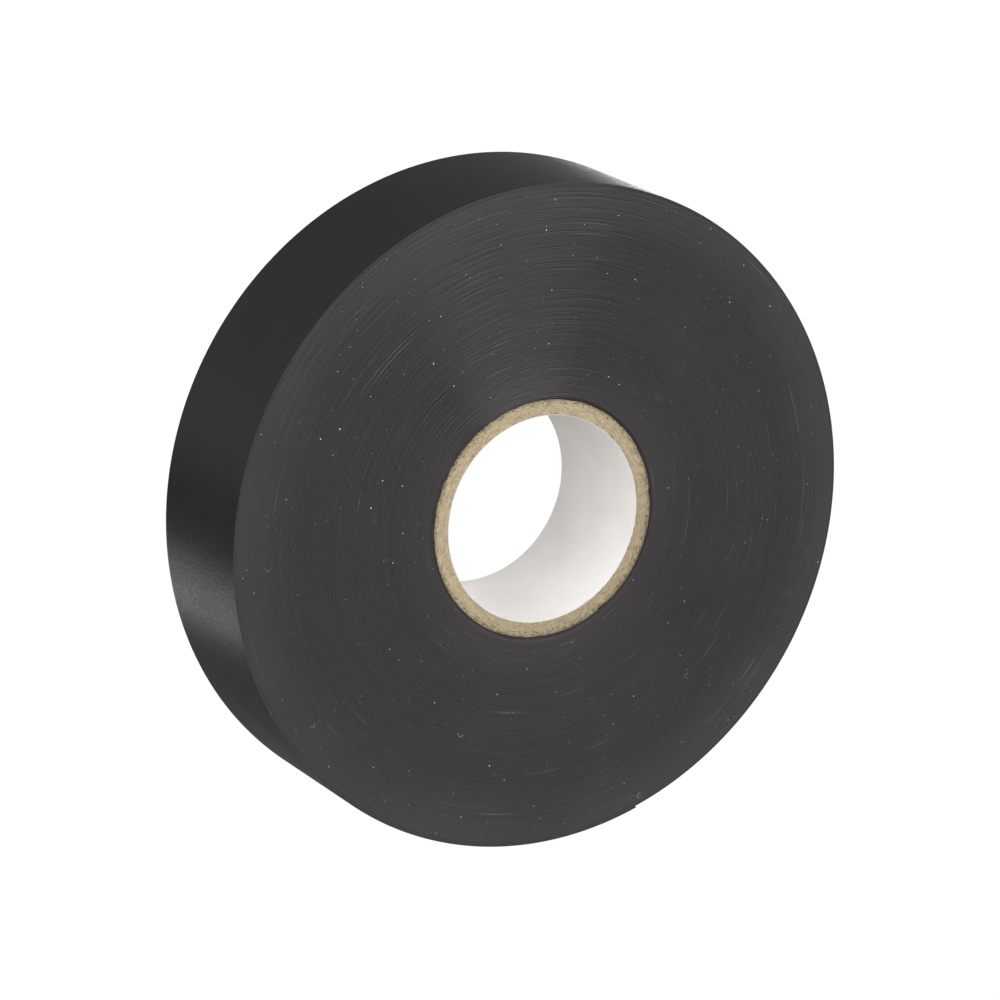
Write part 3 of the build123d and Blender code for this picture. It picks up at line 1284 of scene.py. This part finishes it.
@dataclass(frozen=True)
class EdgeFinish:
    """The slit edges of the turns: matt charcoal, with blade marks, paler wear, powder dust, painted
    shade in the grooves, a painted sheen above and below the axis and painted glints along the turns.
    """

    colour: tuple[float, float, float, float] = (0.0255, 0.0224, 0.0236, 1.0)
    pale: tuple[float, float, float, float] = (0.0395, 0.0352, 0.0368, 1.0)
    pale_wear_and_sheen: tuple[float, float, float, float] = (0.0635, 0.0588, 0.0580, 1.0)
    shade: tuple[float, float, float, float] = (0.006, 0.005, 0.005, 1.0)
    scuff_and_glint: tuple[float, float, float, float] = (0.30, 0.29, 0.28, 1.0)
    powder: tuple[float, float, float, float] = (0.36, 0.34, 0.32, 1.0)
    slack_sheen_way: tuple[float, float] = (-0.19, 0.98)
    specular: float = 0.4

    def make(self, shading: Shading) -> bpy.types.Material:
        """Builds the material."""
        material, graph, shader = new_material("slit vinyl edge", None, self.specular)
        grain = {"Fineness": 6000.0, "Cloud": 90.0}
        height, cloud = group_values(graph, shading.grain, grain)
        radius, cosine, sine = group_values(graph, shading.polar, {})
        x, _, z = graph.separate(graph.node("ShaderNodeTexCoord").outputs["Object"])
        blade = graph.noise(graph.combine(x * 4800.0, 0.0, z * 700.0), 1.0, 2.0)
        along = graph.node("ShaderNodeAttribute", attribute_name="along_tape").outputs["Fac"]
        turn_tone = graph.line_noise(Value(graph, along), 2.9, 2.0)
        tone = turn_tone * 0.25 + cloud * 0.2 + height * 0.25 + blade * 0.3
        colour = graph.colour_mix(graph.smooth(tone, 0.33, 0.70), self.colour, self.pale)
        # Painted sheen: the upper sector, where the concentric turns catch the light from above, is
        # paler. It also stands for wear of the looser turns there.
        slack = graph.smooth(cosine * self.slack_sheen_way[0] + sine * self.slack_sheen_way[1], 0.88, 1.0)
        uneven = radius + (cloud - 0.5) * 3.0
        outermost = graph.smooth(uneven, 33.5, 42.5) * graph.between(cosine, 0.40, 0.60)
        innermost = 1.0 - graph.smooth(uneven, 15.2, 22.0)
        # Painted sheen: the lower sector is paler, the lower half of the same hourglass sheen of the
        # turns.
        underside = graph.smooth(0.0 - sine, 0.45, 1.0)
        # Paler bands at the outermost and innermost turns, with the painted sheen sectors added to
        # them.
        wear_and_sheen = outermost + innermost * 0.26 + slack * (0.45 - outermost * 0.4 + innermost * 0.20)
        wear_and_sheen = wear_and_sheen + underside * 0.15
        colour = graph.colour_mix(wear_and_sheen * graph.between(tone, 0.8, 1.2), colour, self.pale_wear_and_sheen)
        # Painted shade: the grooves between turns are darkened towards the shade colour.
        painted_groove_shade = Value(graph, graph.node("ShaderNodeAttribute", attribute_name="painted_groove_shade").outputs[2])
        colour = graph.colour_mix(graph.math("MINIMUM", painted_groove_shade, 1.0) * 0.75, colour, self.shade)
        # Painted glints: thin pale arcs along the turns, partly scuffs and partly painted highlights
        # where the turns' edges catch the light.
        short_arcs = {"Fineness": 15.0, "Length": 2.2, "Rarity": 0.725}
        long_arcs = {"Fineness": 7.0, "Length": 2.3, "Rarity": 0.735, "Seed": 3.0}
        (short,) = group_values(graph, shading.arcs, short_arcs)
        (long,) = group_values(graph, shading.arcs, long_arcs)
        sector = graph.smooth(cloud, 0.48, 0.66)
        scuff_and_glint = short * sector + long * 0.9
        colour = graph.colour_mix(scuff_and_glint * 0.42, colour, self.scuff_and_glint)
        (dust_mask,) = group_values(graph, shading.dust, {})
        colour = graph.colour_mix(dust_mask * 0.3, colour, self.powder)
        graph.feed(shader.inputs["Base Color"], colour)
        rough = 0.56 + (cloud - 0.5) * 0.1 - scuff_and_glint * 0.15 + dust_mask * 0.2
        graph.feed(shader.inputs["Roughness"], rough)
        add_bump(graph, shader, height * 0.4 + blade * 0.6, 0.011 * MM, 0.5)
        return material


@dataclass(frozen=True)
class AdhesiveFinish:
    """The tape's underside: black rubber adhesive, tacky, with the marks of its own lift-off."""

    colour: tuple[float, float, float, float] = (0.010, 0.0095, 0.0100, 1.0)
    pale: tuple[float, float, float, float] = (0.019, 0.018, 0.0185, 1.0)

    def make(self, shading: Shading) -> bpy.types.Material:
        """Builds the material."""
        material, graph, shader = new_material("rubber adhesive", None, 0.5)
        grain = {"Fineness": 1500.0, "Cloud": 260.0}
        height, cloud = group_values(graph, shading.grain, grain)
        graph.feed(shader.inputs["Base Color"], graph.colour_mix(cloud, self.colour, self.pale))
        graph.feed(shader.inputs["Roughness"], 0.34 + (cloud - 0.5) * 0.35)
        add_bump(graph, shader, height * 0.5 + cloud * 0.5, 0.03 * MM, 0.7)
        return material


@dataclass(frozen=True)
class BoardFinish:
    """Chipboard: tan recycled fibre with dark flecks, denser towards the outer edge, greyer and more
    flecked towards the lower right, with a painted shade line at the outer edge.
    """

    colour: tuple[float, float, float, float] = (0.42, 0.34, 0.215, 1.0)
    pale: tuple[float, float, float, float] = (0.56, 0.465, 0.31, 1.0)
    grey: tuple[float, float, float, float] = (0.30, 0.245, 0.165, 1.0)
    fleck: tuple[float, float, float, float] = (0.11, 0.078, 0.046, 1.0)
    darker_way: tuple[float, float] = (0.64, -0.77)

    def make(self, shading: Shading) -> bpy.types.Material:
        """Builds the material."""
        material, graph, shader = new_material("chipboard", 0.92, 0.25)
        radius, cosine, sine = group_values(graph, shading.polar, {})
        _, across, _ = graph.separate(graph.node("ShaderNodeTexCoord").outputs["Object"])
        spot = graph.combine(radius * 7.0, cosine * 26.0, sine * 26.0 + across * 900.0)
        fibre = graph.noise(spot, 1.0, 4.0, 0.7)
        colour = graph.colour_mix(graph.smooth(fibre, 0.38, 0.62), self.colour, self.pale)
        blotch = graph.noise(graph.combine(radius * 2.2, cosine * 11.0, sine * 11.0), 1.0, 2.0)
        colour = graph.colour_mix(graph.smooth(blotch, 0.45, 0.7) * 0.5, colour, self.grey)
        speckle = graph.noise(graph.combine(radius * 6.0, cosine * 30.0, sine * 30.0), 1.0, 3.0, 0.75)
        rim = graph.smooth(radius, 14.1, 14.95)
        bore = 1.0 - graph.smooth(radius, 13.25, 13.45)
        # Greyer and more flecked towards the lower right.
        lower_right_share = graph.smooth(cosine * self.darker_way[0] + sine * self.darker_way[1], -0.3, 0.9)
        dirt = speckle + rim * 0.12 + bore * 0.06 + lower_right_share * 0.035
        colour = graph.colour_mix(lower_right_share * 0.35, colour, self.grey)
        colour = graph.colour_mix(graph.smooth(dirt, 0.585, 0.70) * 0.8, colour, self.fleck)
        # Painted shade: a thin dark line along the core's outer edge, where the gap to the first turn
        # is shaded.
        colour = graph.colour_mix(graph.smooth(radius, 14.75, 15.0) * 0.35, colour, self.fleck)
        graph.feed(shader.inputs["Base Color"], colour)
        add_bump(graph, shader, fibre * 0.6 + speckle * 0.4, 0.05 * MM, 0.7)
        return material


@dataclass(frozen=True)
class PaperFinish:
    """The liner: smooth pale grey paper with faint fibres."""

    colour: tuple[float, float, float, float] = (0.755, 0.73, 0.71, 1.0)
    pale: tuple[float, float, float, float] = (0.81, 0.79, 0.77, 1.0)

    def make(self, shading: Shading) -> bpy.types.Material:
        """Builds the material."""
        material, graph, shader = new_material("liner paper", 0.8, 0.3)
        grain = {"Fineness": 2600.0, "Cloud": 210.0}
        height, cloud = group_values(graph, shading.grain, grain)
        share = graph.smooth(cloud * 0.6 + height * 0.4, 0.3, 0.7)
        graph.feed(shader.inputs["Base Color"], graph.colour_mix(share, self.colour, self.pale))
        add_bump(graph, shader, height, 0.02 * MM, 0.4)
        return material


@dataclass(frozen=True)
class DustFinish:
    """Specks and lint: matt, pale, and not all the same tone."""

    name: str
    colour: tuple[float, float, float, float]
    pale: tuple[float, float, float, float]

    def make(self, shading: Shading) -> bpy.types.Material:
        """Builds the material."""
        material, graph, shader = new_material(self.name, 0.9, 0.2)
        grain = {"Fineness": 9000.0, "Cloud": 330.0}
        _, tone = group_values(graph, shading.grain, grain)
        cloud = graph.smooth(tone, 0.4, 0.6)
        graph.feed(shader.inputs["Base Color"], graph.colour_mix(cloud, self.colour, self.pale))
        return material


# ---------------------------------------------------------------------------------------------
# The studio
# ---------------------------------------------------------------------------------------------


@dataclass(frozen=True)
class Softbox:
    """A soft rectangular light that the camera doesn't see."""

    name: str
    direction: tuple[float, float, float]
    distance: float
    width: float
    height: float
    power: float

    def build(self) -> None:
        """Places the light, turned to the roll."""
        data = bpy.data.lights.new(self.name, "AREA")
        data.shape = "RECTANGLE"
        data.size = self.width
        data.size_y = self.height
        data.energy = self.power
        lamp = bpy.data.objects.new(self.name, data)
        bpy.context.scene.collection.objects.link(lamp)
        towards = Vector(self.direction).normalized()
        lamp.location = towards * self.distance
        lamp.rotation_mode = "QUATERNION"
        lamp.rotation_quaternion = towards.to_track_quat("Z", "Y")
        lamp.visible_camera = False


@dataclass(frozen=True)
class Studio:
    """The pale floor, the white surroundings, the lights and the camera."""

    azimuth: float = -28.5
    elevation: float = 16.7
    distance: float = 0.6222
    aside: float = 5.33 * MM
    above: float = 2.34 * MM
    lens: float = 182.6
    floor_height: float = -0.30
    floor_size: float = 8.0
    bounce: float = 0.15
    front_light: float = 1.04
    back_light: float = 0.20
    seen_white: float = 1.03
    softboxes: tuple[Softbox, ...] = (
        Softbox("key", (0.10, -0.62, 0.78), 0.6, 0.40, 0.16, 1.35),
        Softbox("fill", (-0.90, -0.35, 0.25), 0.6, 0.40, 0.40, 1.2),
        Softbox("low fill", (-0.52, -0.66, -0.52), 0.6, 0.30, 0.30, 1.1),
        Softbox("rear fill", (0.74, 0.67, 0.0), 0.6, 0.24, 0.24, 1.9),
        Softbox("rim", (-0.29, 0.84, -0.385), 0.45, 0.10, 0.07, 0.046),
    )

    def build_camera(self, target: Vector) -> None:
        """Places the camera.

        Args:
            target: The middle of the roll's front face.
        """
        a, e = math.radians(self.azimuth), math.radians(self.elevation)
        back = Vector((math.sin(a) * math.cos(e), -math.cos(a) * math.cos(e), math.sin(e)))
        right = Vector((math.cos(a), math.sin(a), 0.0))
        up = Vector((-math.sin(a) * math.sin(e), math.cos(a) * math.sin(e), math.cos(e)))
        data = bpy.data.cameras.new("camera")
        data.sensor_width = 36.0
        data.lens = self.lens
        data.clip_start = 0.01
        camera = bpy.data.objects.new("camera", data)
        bpy.context.scene.collection.objects.link(camera)
        camera.location = target + back * self.distance - right * self.aside + up * self.above
        camera.rotation_mode = "QUATERNION"
        camera.rotation_quaternion = (-back).to_track_quat("-Z", "Y")
        bpy.context.scene.camera = camera

    def build_floor(self) -> None:
        """Lays the floor, low enough that the peeled tape hangs free of it."""
        half = self.floor_size / 2
        corners = [(-half, -half), (half, -half), (half, half), (-half, half)]
        mesh = bpy.data.meshes.new("floor")
        mesh.from_pydata([(x, y, self.floor_height) for x, y in corners], [], [(0, 1, 2, 3)])
        floor = bpy.data.objects.new("floor", mesh)
        bpy.context.scene.collection.objects.link(floor)
        material, graph, shader = new_material("pale floor", 0.9, 0.1)
        shader.inputs["Base Color"].default_value = (self.bounce, self.bounce, self.bounce, 1.0)
        white = {"Color": (1.0, 1.0, 1.0, 1.0), "Strength": self.seen_white}
        glow = graph.node("ShaderNodeEmission", white)
        seen = graph.node("ShaderNodeLightPath").outputs["Is Camera Ray"]
        mixed = graph.node("ShaderNodeMixShader", {0: seen, 1: shader.outputs[0], 2: glow.outputs[0]})
        output = next(n for n in material.node_tree.nodes if n.type == "OUTPUT_MATERIAL")
        graph.feed(output.inputs["Surface"], mixed.outputs[0])
        mesh.materials.append(material)

    def build_surroundings(self) -> None:
        """Makes the surroundings white, and brighter in front of the roll than behind it."""
        world = bpy.data.worlds.new("white studio")
        world.use_nodes = True
        graph = Graph(world.node_tree)
        background = next(n for n in world.node_tree.nodes if n.type == "BACKGROUND")
        x, y, _ = graph.separate(graph.node("ShaderNodeTexCoord").outputs["Generated"])
        behind = graph.smooth(x * 0.45 + y * 0.9, 0.1, 0.8)
        light = graph.between(behind, self.front_light, self.back_light)
        seen = Value(graph, graph.node("ShaderNodeLightPath").outputs["Is Camera Ray"])
        background.inputs["Color"].default_value = (1.0, 1.0, 1.0, 1.0)
        graph.feed(background.inputs["Strength"], graph.between(seen, light, self.seen_white))
        bpy.context.scene.world = world

    def build(self, target: Vector) -> None:
        """Builds the studio.

        Args:
            target: The middle of the roll's front face.
        """
        self.build_camera(target)
        self.build_floor()
        self.build_surroundings()
        for softbox in self.softboxes:
            softbox.build()
        bpy.context.scene.view_settings.view_transform = "Standard"


def main() -> None:
    """Builds the finishes, the tape, the core, the dust and the studio."""
    logging.basicConfig(level=logging.INFO, format="%(name)s: %(message)s")
    winding = Winding.from_frame()
    shading = Shading()
    finishes = TapeFinishes(
        film=FilmFinish().make(shading),
        edge=EdgeFinish().make(shading),
        adhesive=AdhesiveFinish().make(shading),
    )
    tape = WoundTape(winding, EdgeRelief(), finishes)
    roll = tape.bodies[0]
    tape.build_turns()
    tape.build_core_wrap()
    tape.build_outer_turn()
    tape.build_free_end()
    Core(BoardFinish().make(shading), PaperFinish().make(shading)).build(roll)
    speck = DustFinish("dust specks", (0.17, 0.16, 0.15, 1.0), (0.80, 0.77, 0.73, 1.0))
    lint = DustFinish("lint", (0.54, 0.51, 0.49, 1.0), (0.30, 0.26, 0.25, 1.0))
    Dust(
        speck.make(shading),
        lint.make(shading),
        winding.start_radius + 0.5 * MM,
        winding.radius(tape.cuts[0] - 3.0, 0.0),
        winding.width / 2,
    ).build(roll)
    Studio().build(Vector((0.0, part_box("wound_turns")[0].y, 0.0)))


if __name__ == "__main__":
    main()
